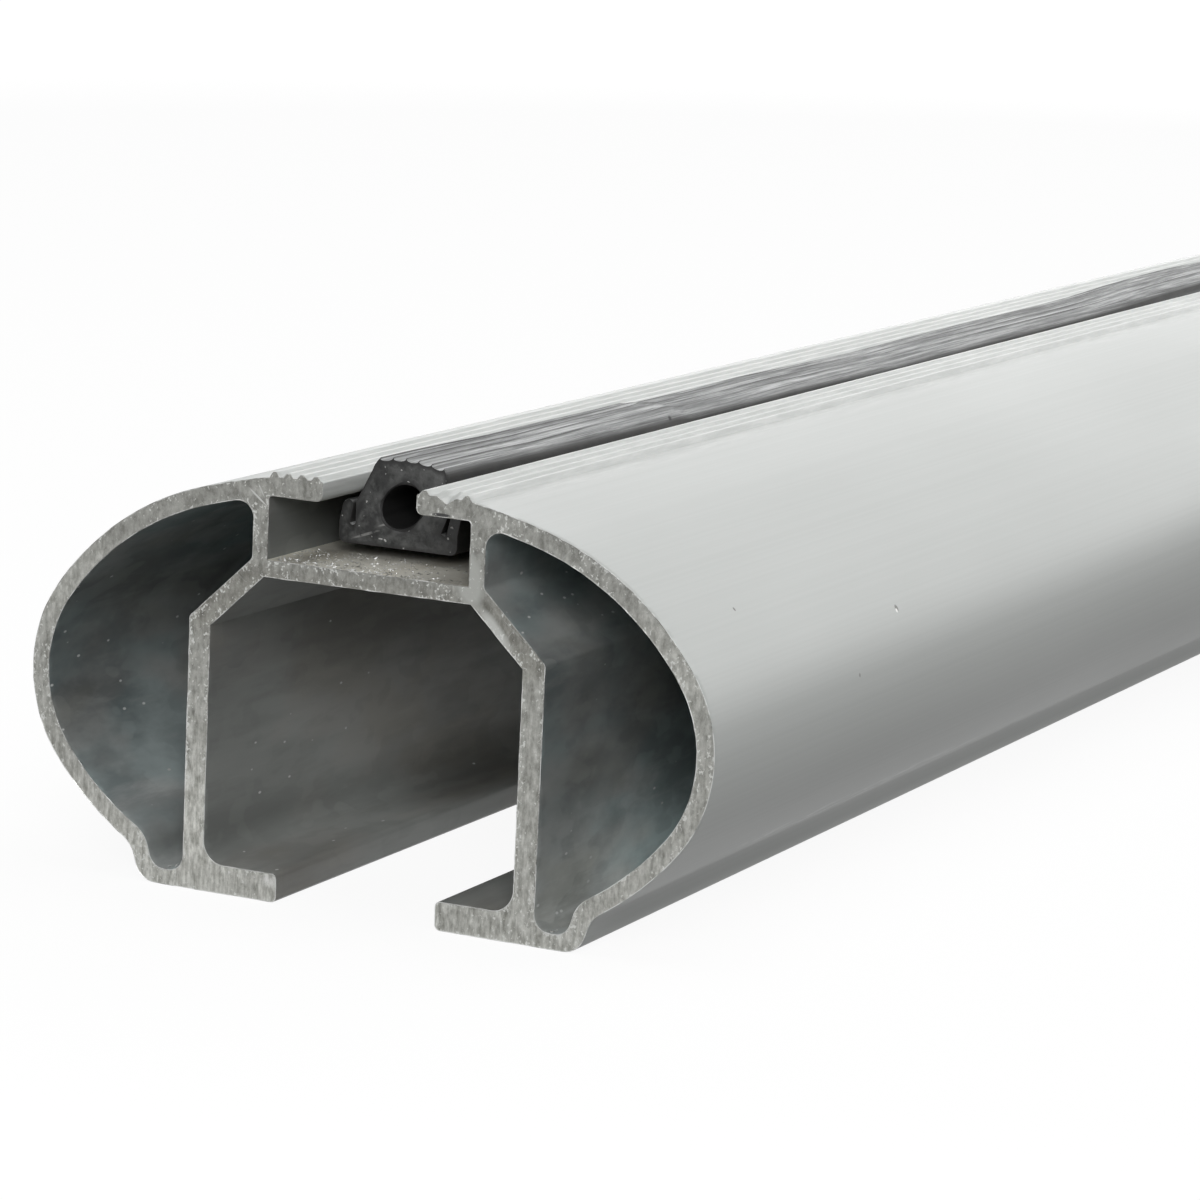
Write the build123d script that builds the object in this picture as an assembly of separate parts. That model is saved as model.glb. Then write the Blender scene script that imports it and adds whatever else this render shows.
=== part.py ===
# Roof rack crossbar: an aluminium extrusion with a hollow aerofoil shell, a T-slot along its
# top and an open channel along its underside, and the rubber strip that lies in the T-slot.
# X runs across the bar, Y along it and Z up. The origin is under the middle of the bar,
# on the plane of its feet. All sizes are in millimetres.
from build123d import *
from math import cos, pi, radians, sin, tan
import os

os.makedirs("parts", exist_ok=True)

# Bar: overall sizes
bar_length = 1200.0
bar_width = 80.0
crown_height = 45.9
shell_rise = 2.2

# Bar: outer curve, made of tangent arcs; angles are counted from the top round to the feet
crown_angle = 17.0
nose_start_angle = 55.0
nose_end_angle = 129.0
under_end_angle = 156.0
nose_radius = 15.6
under_radius = 34.0
shell_wall = 2.0

# Bar: feet and the mouth between them
foot_inset = 14.0
foot_lean_angle = 18.0
foot_blend_radius = 3.5
foot_corner_radius = 2.5
flange_thickness = 3.1
flange_corner_radius = 0.6
mouth_width = 18.8
groove_floor = 1.7
groove_width = 3.6
groove_radius = 1.7
groove_crest_radius = 3.5

# Bar: webs, sloping walls and roof round the open channel
web_thickness = 2.55
web_fillet = 2.4
knee_height = 28.5
knee_fillet = 0.7
roof_margin = 0.35
slope_wall = 2.32
roof_thickness = 1.85

# Bar: T-slot, its lips and the teeth on them
slot_width = 23.5
slot_depth = 6.7
slot_fillet = 0.35
upright_thickness = 1.8
chamber_corner_radius = 1.7
slot_mouth = 10.9
lip_thickness = 2.1
lip_nose_radius = 0.7
crown_trim = 0.85
tooth_pitch = 1.63
tooth_width = 1.2
tooth_height = 0.45
tooth_root = 1.0
tooth_flank_angle = 50.0
tooth_tip_radius = 0.18
tooth_count = 4
tooth_margin = 0.85

# Bar: the chip broken out of the right lip at the near end
chip_start = 7.4
chip_end = 10.0
chip_depth = 0.8
chip_run = 2.6

# Strip: its section
crown_proud = 1.1
base_overlap = 1.55
base_corner_radius = 0.8
fin_height = 3.9
fin_thickness = 1.3
fin_gap = 0.6
base_thickness = 2.3
stem_width = 11.0
stem_height = 4.4
neck_clearance = 1.1
neck_drop = 0.6
crown_clearance = 1.7
crown_drop = 0.4
shoulder_bulge = 0.12
bore_radius = 2.4
bore_height = 4.45
ridge_count = 6
ridge_depth = 0.3

# Strip: how it lies in the slot
seat_clearance = 0.3
end_recess = 8.2
lifted_end_rise = 1.0
lifted_end_lean = 0.195
lifted_end_roll = 0.07
lifted_end_shift = -0.87
lifted_end_length = 66.0
ripple_start = 200.0
ripple_length = 125.0
ripple_rise = 1.0
ripple_stations = 7
lifted_stations = 5

# Sizes that follow from the ones above
under_fall = under_radius * (cos(radians(nose_end_angle)) - cos(radians(under_end_angle)))
widest_height = shell_rise + under_fall - nose_radius * cos(radians(nose_end_angle))
lip_top = crown_height - crown_trim
slot_ceiling = lip_top - lip_thickness
slot_floor = slot_ceiling - slot_depth
teeth_top = lip_top + tooth_height
roof_underside = slot_floor - roof_thickness
roof_width = slot_width + 2 * roof_margin
foot_half_width = bar_width / 2 - foot_inset
foot_lean = tan(radians(foot_lean_angle))
foot_wall_run = shell_wall / cos(radians(foot_lean_angle))
web_outer = foot_half_width + foot_lean * groove_floor - foot_wall_run - groove_width
web_gap = 2 * (web_outer - web_thickness)
upright_outer = slot_width / 2 + upright_thickness
near_end = -bar_length / 2
cut_reach = crown_height
seat_height = slot_floor + seat_clearance
strip_height = lip_top - seat_height + crown_proud
base_width = slot_mouth + 2 * base_overlap
neck_width = slot_mouth - 2 * neck_clearance
neck_height = lip_top - seat_height - neck_drop
crown_width = slot_mouth - 2 * crown_clearance


def mirrored(half):
    """Joins a right-hand half section to its mirror image."""
    return half + mirror(half, about=Plane.YZ)


def shell_radii():
    """Radii of the crown and shoulder arcs, which carry the curve from the crown to the nose arc."""
    a = radians(crown_angle)
    b = radians(nose_start_angle)
    across = bar_width / 2 - nose_radius * (1 - sin(b))
    down = crown_height - widest_height - nose_radius * cos(b)
    det = sin(a) * (cos(a) - cos(b)) - (sin(b) - sin(a)) * (1 - cos(a))
    crown_radius = (across * (cos(a) - cos(b)) - down * (sin(b) - sin(a))) / det
    shoulder_radius = (down * sin(a) - across * (1 - cos(a))) / det
    return crown_radius, shoulder_radius


def shell_region(inset):
    """Right half of the space inside the outer curve, moved inwards by inset."""
    crown_radius, shoulder_radius = shell_radii()
    crown = JernArc((0, crown_height - inset), (1, 0), crown_radius - inset, -crown_angle)
    shoulder = JernArc(crown @ 1, crown % 1, shoulder_radius - inset, crown_angle - nose_start_angle)
    nose = JernArc(shoulder @ 1, shoulder % 1, nose_radius - inset, nose_start_angle - nose_end_angle)
    under = JernArc(nose @ 1, nose % 1, under_radius - inset, nose_end_angle - under_end_angle)
    low_point = (0, (under @ 1).Y)
    floor = Line(under @ 1, low_point)
    middle = Line(low_point, (0, crown_height - inset))
    return make_face([crown, shoulder, nose, under, floor, middle])


def foot_region(side, floor, inner):
    """Right half of a foot from inner outwards; its leaning side would meet the ground at side."""
    top = widest_height
    return make_face(Polyline(
        (inner, floor),
        (side + foot_lean * floor, floor),
        (side + foot_lean * top, top),
        (inner, top),
        close=True,
    ))


def outer_section():
    """Right half of the outer form, with the foot blended into the shell."""
    half = shell_region(0) + foot_region(foot_half_width, 0, 0)
    outside = half.vertices().filter_by(lambda v: v.X > foot_half_width - shell_wall)
    lowest = outside.sort_by(Axis.Y)
    half = fillet(lowest[1], foot_blend_radius)
    corner = half.vertices().group_by(Axis.Y)[0].sort_by(Axis.X)[-1]
    return fillet(corner, foot_corner_radius)


def core_section():
    """Right half of the space bounded by the outsides of the web, slope and upright."""
    rise = slope_rise()
    knee = (web_outer, knee_height + rise)
    shoulder = (upright_outer, knee_height + rise + (web_outer - upright_outer) * slope_steepness())
    top = crown_height + cut_reach
    return make_face(Polyline(
        (0, 0), (web_outer, 0), knee, shoulder, (upright_outer, top), (0, top), close=True,
    ))


def slope_steepness():
    """Rise over run of the sloping wall, from the channel's knee to its roof."""
    return (roof_underside - knee_height) / (web_gap / 2 - roof_width / 2)


def slope_rise():
    """Height of the outer knee above the inner one, so that the sloping wall keeps its thickness."""
    steep = slope_steepness()
    return slope_wall * (1 + steep ** 2) ** 0.5 - web_thickness * steep


def chamber_section():
    """Right side chamber: the shell's inside and the groove in the foot, outside the core."""
    foot = foot_region(foot_half_width - foot_wall_run, groove_floor, web_outer)
    space = shell_region(shell_wall) + foot - core_section()

    outside = space.vertices().filter_by(lambda v: v.X > web_outer + shell_wall)
    crest = outside.filter_by(lambda v: v.Y > groove_floor + shell_wall).sort_by(Axis.Y)[0]
    space = fillet(crest, groove_crest_radius)
    space = fillet(space.vertices().group_by(Axis.Y)[0], groove_radius)

    above_groove = groove_floor + 2 * groove_radius
    inside = space.vertices().filter_by(lambda v: v.X < web_outer + knee_fillet)
    knees = inside.filter_by(lambda v: v.Y > above_groove).sort_by(Axis.Y)[:2]
    space = fillet(knees, knee_fillet)
    top = space.vertices().filter_by(lambda v: v.X < web_outer).sort_by(Axis.Y)[-1]
    crown_end = (shell_radii()[0] - shell_wall) * sin(radians(crown_angle))
    return fillet(top, min(chamber_corner_radius, abs(crown_end - top.X) / 2))


def channel_section():
    """Right half of the open channel, with its mouth between the feet."""
    half = make_face(Polyline(
        (0, -flange_thickness),
        (mouth_width / 2, -flange_thickness),
        (mouth_width / 2, flange_thickness),
        (web_gap / 2, flange_thickness),
        (web_gap / 2, knee_height),
        (roof_width / 2, roof_underside),
        (0, roof_underside),
        close=True,
    ))
    corner = half.vertices().filter_by(lambda v: v.Y < knee_height).sort_by(Axis.X)[-1]
    return fillet(corner, web_fillet)


def slot_section():
    """T-slot, with its mouth open through the top of the bar."""
    on_floor = (Align.CENTER, Align.MIN)
    pocket = Pos(0, slot_floor) * Rectangle(slot_width, slot_depth, align=on_floor)
    pocket = fillet(pocket.vertices().group_by(Axis.Y)[-1], slot_fillet)
    mouth = Pos(0, slot_floor) * Rectangle(slot_mouth, slot_depth + cut_reach, align=on_floor)
    return pocket + mouth


def tooth():
    """One rounded tooth, standing on the lip's top face, with its root inside the lip."""
    form = Trapezoid(tooth_width, tooth_height, tooth_flank_angle, align=(Align.CENTER, Align.MIN))
    form = fillet(form.vertices().group_by(Axis.Y)[-1], tooth_tip_radius)
    return form + Rectangle(tooth_width, tooth_root, align=(Align.CENTER, Align.MAX))


def bar_section():
    """Whole cross section of the bar."""
    trim = Pos(0, lip_top) * Rectangle(bar_width, cut_reach, align=(Align.CENTER, Align.MIN))
    section = mirrored(outer_section()) - mirrored(channel_section())
    section = section - mirrored(chamber_section()) - slot_section() - trim

    lip_corners = section.vertices().filter_by(lambda v: abs(abs(v.X) - slot_mouth / 2) < 0.01)
    section = fillet(lip_corners, lip_nose_radius)
    flange_corners = section.vertices().filter_by(lambda v: abs(abs(v.X) - mouth_width / 2) < 0.01)
    section = fillet(flange_corners.filter_by(lambda v: v.Y < knee_height), flange_corner_radius)

    first_tooth = slot_mouth / 2 + tooth_margin
    for index in range(tooth_count):
        place = first_tooth + index * tooth_pitch
        section = section + Pos(place, lip_top) * tooth()
        section = section + Pos(-place, lip_top) * tooth()
    return section


def chip():
    """Wedge broken out of the right lip, deepest at the cut face and fading out along the bar."""
    top = teeth_top + chip_depth
    middle = (chip_start + chip_end) / 2
    mouth = Plane.XZ * make_face(Polyline(
        (chip_start, top), (chip_start, lip_top), (middle, lip_top - chip_depth),
        (chip_end, lip_top), (chip_end, top), close=True,
    ))
    point = Vertex(middle, near_end + chip_run, top)
    return loft([Pos(0, near_end, 0) * mouth, point])


def bar():
    """The extrusion, cut square at both ends."""
    body = extrude(Plane.XZ * bar_section(), bar_length / 2, both=True)
    return body - chip()


def crown_point(across):
    """Point on the strip's arched top."""
    return (across, strip_height - crown_drop * (2 * across / crown_width) ** 2)


def ridged_crown(place):
    """Scalloped top of the strip, from its right shoulder to its left one."""
    spacing = crown_width / (ridge_count - 1)
    valleys = []
    for index in range(ridge_count - 1):
        right = crown_point(crown_width / 2 - index * spacing)
        left = crown_point(crown_width / 2 - (index + 1) * spacing)
        low = ((right[0] + left[0]) / 2, (right[1] + left[1]) / 2 - ridge_depth)
        valleys.append(ThreePointArc(place(*right), place(*low), place(*left)))
    return valleys


def strip_side(place, side):
    """Edges of one side, from the base up over the fin and stem to the crown; side is 1 or -1."""
    edge = base_width / 2
    fin_inner = edge - fin_thickness
    stem = fin_inner - fin_gap
    corner = base_corner_radius
    shoulder = crown_point(crown_width / 2)
    bend = (1 - sin(pi / 4)) * corner
    bulge = ((neck_width + crown_width) / 4 + shoulder_bulge, (neck_height + shoulder[1]) / 2)

    def at(x, y):
        return place(side * x, y)

    return [
        ThreePointArc(at(edge - corner, 0), at(edge - bend, bend), at(edge, corner)),
        Line(at(edge, corner), at(edge, fin_height)),
        ThreePointArc(
            at(edge, fin_height),
            at(edge - fin_thickness / 2, fin_height + fin_thickness / 2),
            at(fin_inner, fin_height),
        ),
        Line(at(fin_inner, fin_height), at(fin_inner, base_thickness)),
        ThreePointArc(
            at(fin_inner, base_thickness),
            at(fin_inner - fin_gap / 2, base_thickness - fin_gap / 2),
            at(stem, base_thickness),
        ),
        Line(at(stem, base_thickness), at(stem_width / 2, stem_height)),
        Line(at(stem_width / 2, stem_height), at(neck_width / 2, neck_height)),
        ThreePointArc(at(neck_width / 2, neck_height), at(*bulge), at(*shoulder)),
    ]


def strip_outline(place):
    """Outline of the strip; place puts a point of its section where the rubber lies."""
    right = strip_side(place, 1)
    left = strip_side(place, -1)
    underside = Line(left[0] @ 0, right[0] @ 0)
    return make_face(right + ridged_crown(place) + left + [underside])


def strip_station(along, ease, rise):
    """Outline and bore at one place along the bar; ease is 1 at the lifted end and 0 where seated."""
    def place(x, y):
        over_base = max(0, y - base_thickness)
        across = x + ease * (lifted_end_shift + lifted_end_lean * over_base)
        up = seat_height + rise + y - ease * lifted_end_roll * x * over_base / strip_height
        return (across, up)

    plane = Plane.XZ.offset(-along)
    return plane * strip_outline(place), plane * (Pos(*place(0, bore_height)) * Circle(bore_radius))


def lofted(stations):
    """Solid through a row of stations, with the bore left open."""
    outlines = [outline for outline, bore in stations]
    bores = [bore for outline, bore in stations]
    return loft(outlines) - loft(bores)


def straight(start, end):
    """Seated stretch of the strip."""
    outline, bore = strip_station(start, 0, 0)
    return extrude(outline - bore, end - start, dir=(0, 1, 0))


def strip():
    """The strip: a lifted end that leans over, a seated stretch, one ripple and a seated rest."""
    cut_end = near_end + end_recess
    seated = cut_end + lifted_end_length
    crest_start = near_end + ripple_start
    crest_end = crest_start + ripple_length

    lifted = []
    for index in range(lifted_stations):
        share = index / (lifted_stations - 1)
        ease = (1 + cos(pi * share)) / 2
        lifted.append(strip_station(cut_end + share * lifted_end_length, ease, ease * lifted_end_rise))

    ripple = []
    for index in range(ripple_stations):
        share = index / (ripple_stations - 1)
        wave = (1 - cos(2 * pi * share)) / 2
        ripple.append(strip_station(crest_start + share * ripple_length, 0, wave * ripple_rise))

    body = lofted(lifted) + straight(seated, crest_start)
    return body + lofted(ripple) + straight(crest_end, -near_end - end_recess)


export_step(bar(), "parts/bar_extrusion.step")
export_step(strip(), "parts/slot_strip.step")
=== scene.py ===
import bpy
import numpy as np
from mathutils import Matrix, Vector
from mathutils.geometry import delaunay_2d_cdt


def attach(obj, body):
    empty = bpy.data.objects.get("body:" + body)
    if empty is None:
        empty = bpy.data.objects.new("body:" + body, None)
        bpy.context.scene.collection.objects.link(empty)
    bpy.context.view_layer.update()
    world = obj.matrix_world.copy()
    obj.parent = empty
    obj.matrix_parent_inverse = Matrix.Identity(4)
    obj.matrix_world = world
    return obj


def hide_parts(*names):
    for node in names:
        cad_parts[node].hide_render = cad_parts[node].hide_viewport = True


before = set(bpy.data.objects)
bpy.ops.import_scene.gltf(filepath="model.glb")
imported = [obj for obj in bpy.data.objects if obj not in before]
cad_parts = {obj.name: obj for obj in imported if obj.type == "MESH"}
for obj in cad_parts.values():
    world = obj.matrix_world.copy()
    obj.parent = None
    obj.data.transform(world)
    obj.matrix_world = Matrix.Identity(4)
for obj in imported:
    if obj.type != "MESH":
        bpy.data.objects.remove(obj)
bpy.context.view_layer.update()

MM = 0.001

# Bar: overall sizes and outer curve, as in the CAD source
bar_length = 1200 * MM
bar_width = 80 * MM
crown_height = 45.9 * MM
shell_rise = 2.2 * MM
crown_angle = np.radians(17)
nose_start_angle = np.radians(55)
nose_end_angle = np.radians(129)
under_end_angle = np.radians(156)
nose_radius = 15.6 * MM
under_radius = 34 * MM
shell_wall = 2.0 * MM

# Bar: feet, mouth and grooves
foot_inset = 14.0 * MM
foot_lean_angle = np.radians(18)
foot_blend_radius = 3.5 * MM
foot_corner_radius = 2.5 * MM
flange_thickness = 3.1 * MM
flange_corner_radius = 0.6 * MM
mouth_width = 18.8 * MM
groove_floor = 1.7 * MM
groove_width = 3.6 * MM
groove_radius = 1.7 * MM
groove_crest_radius = 3.5 * MM

# Bar: webs, slopes and roof
web_thickness = 2.55 * MM
web_fillet = 2.4 * MM
knee_height = 28.5 * MM
knee_fillet = 0.7 * MM
roof_margin = 0.35 * MM
slope_wall = 2.32 * MM
roof_thickness = 1.85 * MM

# Bar: T-slot, lips and teeth
slot_width = 23.5 * MM
slot_depth = 6.7 * MM
slot_fillet = 0.35 * MM
upright_thickness = 1.8 * MM
chamber_corner_radius = 1.7 * MM
slot_mouth = 10.9 * MM
lip_thickness = 2.1 * MM
lip_nose_radius = 0.7 * MM
lip_edge_radius = 0.18 * MM
crown_trim = 0.85 * MM
tooth_pitch = 1.63 * MM
tooth_width = 1.2 * MM
tooth_height = 0.45 * MM
tooth_flank_angle = np.radians(50)
tooth_tip_radius = 0.18 * MM
tooth_valley_radius = 0.08 * MM
tooth_count = 4
tooth_margin = 0.85 * MM

# Bar: chip in the right lip at the near end
chip_start = 7.4 * MM
chip_end = 10.0 * MM
chip_middle = 8.9 * MM
chip_depth = 0.8 * MM
chip_run = 2.6 * MM

# Strip: its section and how it lies
crown_proud = 1.1 * MM
base_overlap = 1.55 * MM
base_corner_radius = 0.8 * MM
fin_height = 3.9 * MM
fin_thickness = 1.3 * MM
fin_gap = 0.6 * MM
base_thickness = 2.3 * MM
stem_width = 11.0 * MM
stem_height = 4.4 * MM
neck_clearance = 1.1 * MM
neck_drop = 0.6 * MM
crown_clearance = 1.7 * MM
crown_drop = 0.4 * MM
shoulder_bulge = 0.12 * MM
bore_radius = 2.4 * MM
bore_height = 4.45 * MM
ridge_count = 6
ridge_depth = 0.36 * MM
seat_clearance = 0.3 * MM
end_recess = 8.2 * MM
lifted_end_rise = 1.0 * MM
lifted_end_lean = 0.195
lifted_end_roll = 0.07
lifted_end_shift = -0.87 * MM
lifted_end_length = 66 * MM
ripple_start = 200 * MM
ripple_length = 125 * MM
ripple_rise = 1.0 * MM

# Strip: how far its crown stands over its even lie, as (distance from the near end, rise) in mm
crown_lift = np.array([
    (32, 0), (46, 0.4), (53, 0.5), (61, 0.62), (65, 0.75), (66.5, 0.7), (69.5, 0.4), (87, 0.36), (99, 0.5),
    (120, 0.25), (134, 0.1), (150, 0.28), (173, 0.39), (199, 0.39), (230, 0.5), (260, 0.28), (300, 0),
]).T * MM

# Sizes that follow from the ones above
under_fall = under_radius * (np.cos(nose_end_angle) - np.cos(under_end_angle))
widest_height = shell_rise + under_fall - nose_radius * np.cos(nose_end_angle)
lip_top = crown_height - crown_trim
slot_ceiling = lip_top - lip_thickness
slot_floor = slot_ceiling - slot_depth
roof_underside = slot_floor - roof_thickness
roof_width = slot_width + 2 * roof_margin
foot_half_width = bar_width / 2 - foot_inset
foot_lean = np.tan(foot_lean_angle)
foot_wall_run = shell_wall / np.cos(foot_lean_angle)
web_outer = foot_half_width + foot_lean * groove_floor - foot_wall_run - groove_width
web_inner = web_outer - web_thickness
upright_outer = slot_width / 2 + upright_thickness
near_end = -bar_length / 2
seat_height = slot_floor + seat_clearance
strip_height = lip_top - seat_height + crown_proud
base_width = slot_mouth + 2 * base_overlap
neck_width = slot_mouth - 2 * neck_clearance
neck_height = lip_top - seat_height - neck_drop
crown_width = slot_mouth - 2 * crown_clearance

# Sampling of the outlines and of the faces at the cut ends
arc_step = 0.5 * MM
run_step = 0.5 * MM
same_place = 1e-7
face_step = 0.3 * MM
rim_gap = 0.6 * face_step
sliver_area = 1e-6 * MM ** 2
delaunay_tolerance = 1e-8
points_at_once = 4000
sharp_angle = np.radians(35)
neck_points = 5
crown_points = 45

# Rings along the bar: distances from the near end, from the far end, and the even ones between
near_rings = MM * np.array([0.9, 1.3, 1.7, 2.1, 2.6, 3.4, 8, 20, 40])
far_rings = MM * np.array([20, 8, 2, 0.9])
middle_margin = 60 * MM
middle_rings = 28

# Rings along the strip: at its cut, then runs of them as (start, end, gap) from the near end, which are
# closer where the crown steps up, then a few to its far end
cut_rings = MM * np.array([0, 0.12, 0.5])
ring_runs = MM * np.array([(10.2, 60, 2.5), (60, 72, 0.8), (74, 340, 2.5)])
few_start = 345 * MM
few_rings = 12

# Sawn ends: the cut face lies burr_depth behind the tips of the burr along its edges
burr_depth = 0.14 * MM
burr_width = 0.1 * MM
burr_back = 0.14 * MM
burr_back_spacing = 1.3 * MM
burr_cluster_spacing = 5 * MM
burr_tooth_spacing = 0.9 * MM
burr_grain_spacing = 0.35 * MM
burr_shoulder = 0.35
saw_radius = 150 * MM
saw_spacing = 0.35 * MM
saw_depth = 0.012 * MM
saw_grain = 0.008 * MM

# Strip's cut ends
cut_inset = 0.04 * MM
tear_spacing = 0.8 * MM
tear_depth = 0.03 * MM
tear_grain = 0.02 * MM
bore_tear = 0.3 * MM
bore_tear_spacing = 0.8 * MM

# Swarf left by the saw: flakes near the near end, as counts and reaches along the bar. The powers crowd
# them towards the cut and towards the right side of the slot
slot_flakes = 430
slot_flake_reach = 9 * MM
slot_flake_spread = 0.96
slot_flake_power = 0.6
groove_flakes = 60
groove_flake_reach = 16 * MM
groove_flake_spread = 0.12
flake_start = 0.3 * MM
flake_power = 1.7
flake_size = 0.14 * MM
flake_least = (0.7, 0.4, 0.15)
flake_most = (2.0, 1.0, 0.4)
flake_tilt = (1, 1, 0.25)

# Finishes of the extrusion and of the strip, in the order of their material slots
DRAWN, SAWN, BURR, CHAMBER, CHANNEL, SLOT = range(6)
RUBBER, CUT, BORE = range(3)

# Camera: where the photograph was taken from
camera_place = (220.8 * MM, near_end - 406.2 * MM, 119.0 * MM)
camera_forward = (-0.42421, 0.88753, -0.17984)
camera_up = (-0.11931, 0.14209, 0.98264)
camera_lens = 137.5
camera_sensor = 36
camera_clip = 0.01

# Studio: half the floor's width, the surrounding's light on the object, and the lamps' common target
floor_half = 9.0
surrounding = 0.135
lamp_target = (0, near_end + 0.1, 0.03)

# Where a pattern with a seed begins, for each step of the seed
seed_steps = (0.013, 0.007, 0.011)


def unit(vectors):
    """Each vector divided by its own length."""
    return vectors / np.linalg.norm(vectors, axis=-1, keepdims=True)


def fan(centre, radius, start, end):
    """Arc: the centre plus radius times (sine, cosine) of an angle counted clockwise from the top."""
    count = max(7, int(abs(end - start) * radius / arc_step) + 2)
    turn = np.linspace(start, end, count)
    return np.array(centre) + radius * np.column_stack((np.sin(turn), np.cos(turn)))


def corner_arc(before, corner, after, radius):
    """Arc that touches both sides of a corner, swept between its two touching radii."""
    into = unit(before - corner)
    out = unit(after - corner)
    half = np.arccos(np.clip(into @ out, -1, 1)) / 2
    centre = corner + unit(into + out) * radius / np.sin(half)
    first = unit(corner + into * radius / np.tan(half) - centre)
    last = unit(corner + out * radius / np.tan(half) - centre)
    sweep = np.pi - 2 * half
    share = np.linspace(0, 1, max(5, int(sweep * radius / arc_step) + 2))[:, None]
    swept = np.sin((1 - share) * sweep) * first + np.sin(share * sweep) * last
    return centre + radius * swept / np.sin(sweep)


def rounded(corners, radii):
    """Open outline through corners, with each inner corner rounded by its radius; 0 keeps it sharp."""
    corners = np.array(corners)
    parts = [corners[:1]]
    for before, corner, after, radius in zip(corners[:-2], corners[1:-1], corners[2:], radii):
        parts.append(corner_arc(before, corner, after, radius) if radius else corner[None])
    return np.vstack(parts + [corners[-1:]])


def filled(outline):
    """Closed outline with points added on its straight runs, so that no gap is over run_step."""
    following = np.roll(outline, -1, axis=0)
    gap = np.linalg.norm(following - outline, axis=1)
    apart = gap > same_place
    outline, following, gap = outline[apart], following[apart], gap[apart]
    counts = np.ceil(gap / run_step).astype(int)
    first = np.repeat(np.cumsum(counts) - counts, counts)
    share = (np.arange(counts.sum()) - first) / np.repeat(counts, counts)
    runs = np.repeat(following - outline, counts, axis=0)
    return np.repeat(outline, counts, axis=0) + share[:, None] * runs


def mirrored(half):
    """Closed outline from its right half, which starts and ends on the middle line."""
    return np.vstack((half, (half * (-1, 1))[::-1]))


def shell_arcs():
    """Tangent arcs of the outer curve as (centre, radius, start, end), from the crown down to the foot.

    Each centre lies on the line through the last centre and the joint, so that the arcs meet tangent.
    """
    a, b = crown_angle, nose_start_angle
    across = bar_width / 2 - nose_radius * (1 - np.sin(b))
    down = crown_height - widest_height - nose_radius * np.cos(b)
    det = np.sin(a) * (np.cos(a) - np.cos(b)) - (np.sin(b) - np.sin(a)) * (1 - np.cos(a))
    crown_radius = (across * (np.cos(a) - np.cos(b)) - down * (np.sin(b) - np.sin(a))) / det
    shoulder_radius = (down * np.sin(a) - across * (1 - np.cos(a))) / det
    radii = [crown_radius, shoulder_radius, nose_radius, under_radius]
    joints = [0, crown_angle, nose_start_angle, nose_end_angle, under_end_angle]
    centre = np.array([0, crown_height - crown_radius])
    arcs = [(centre, crown_radius, joints[0], joints[1])]
    for index in range(1, 4):
        turn = joints[index]
        step = radii[index - 1] - radii[index]
        centre = centre + step * np.array([np.sin(turn), np.cos(turn)])
        arcs.append((centre, radii[index], turn, joints[index + 1]))
    return arcs


def foot_blend(inset, radius):
    """Reverse arc between the under arc and the leaning side of the foot, both moved in by inset.

    Its centre is a radius outside both: on the line beside the foot, where the distance to the
    centre of the under arc is the sum of the two radii. Gives the arc and its angle on the under arc.
    """
    centre, under, start, end = shell_arcs()[3]
    lean = np.array([np.sin(foot_lean_angle), np.cos(foot_lean_angle)])
    side = foot_half_width + (radius - inset) / np.cos(foot_lean_angle)
    away = np.array([side, 0]) - centre
    reach = away @ lean
    along = -reach - np.sqrt(reach ** 2 - away @ away + (under - inset + radius) ** 2)
    blend = np.array([side, 0]) + along * lean
    touch = np.arctan2(blend[0] - centre[0], blend[1] - centre[1])
    return fan(blend, radius, touch - np.pi, foot_lean_angle - np.pi / 2), touch


def tooth_corners():
    """Corners of the teeth on the right lip, and the radius of each."""
    flank = tooth_height / np.tan(tooth_flank_angle)
    across = np.array([-tooth_width / 2, flank - tooth_width / 2, tooth_width / 2 - flank, tooth_width / 2])
    middles = slot_mouth / 2 + tooth_margin + tooth_pitch * np.arange(tooth_count)
    x = (middles[:, None] + across).ravel()
    z = lip_top + np.tile([0, tooth_height, tooth_height, 0], tooth_count)
    radii = [tooth_valley_radius, tooth_tip_radius, tooth_tip_radius, tooth_valley_radius] * tooth_count
    return list(zip(x, z)), radii


def outer_outline():
    """Outline of the whole bar: slot, toothed lip, shell, foot, channel and roof, and their mirror image."""
    (crown, crown_radius, start, crown_end), shoulder, nose, (under, under_r, turn, end) = shell_arcs()
    teeth, tooth_radii = tooth_corners()
    tooth_foot = teeth[-1][0]
    crown_start = np.arcsin(tooth_foot / crown_radius)
    first_on_crown = crown + crown_radius * np.array([np.sin(crown_start), np.cos(crown_start)])
    lip = rounded(
        [(0, slot_floor), (slot_width / 2, slot_floor), (slot_width / 2, slot_ceiling),
         (slot_mouth / 2, slot_ceiling), (slot_mouth / 2, lip_top)] + teeth[:-1] + [tuple(first_on_crown)],
        [0, slot_fillet, lip_nose_radius, lip_edge_radius] + tooth_radii[:-1],
    )
    blend, touch = foot_blend(0, foot_blend_radius)
    foot = rounded(
        [tuple(blend[-1]), (foot_half_width, 0), (mouth_width / 2, 0), (mouth_width / 2, flange_thickness),
         (web_inner, flange_thickness), (web_inner, knee_height), (roof_width / 2, roof_underside),
         (0, roof_underside)],
        [foot_corner_radius, flange_corner_radius, flange_corner_radius, web_fillet, 0, 0],
    )
    return filled(mirrored(np.vstack((
        lip, fan(crown, crown_radius, crown_start, crown_end), fan(*shoulder), fan(*nose),
        fan(under, under_r, turn, touch), blend, foot,
    ))))


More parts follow.
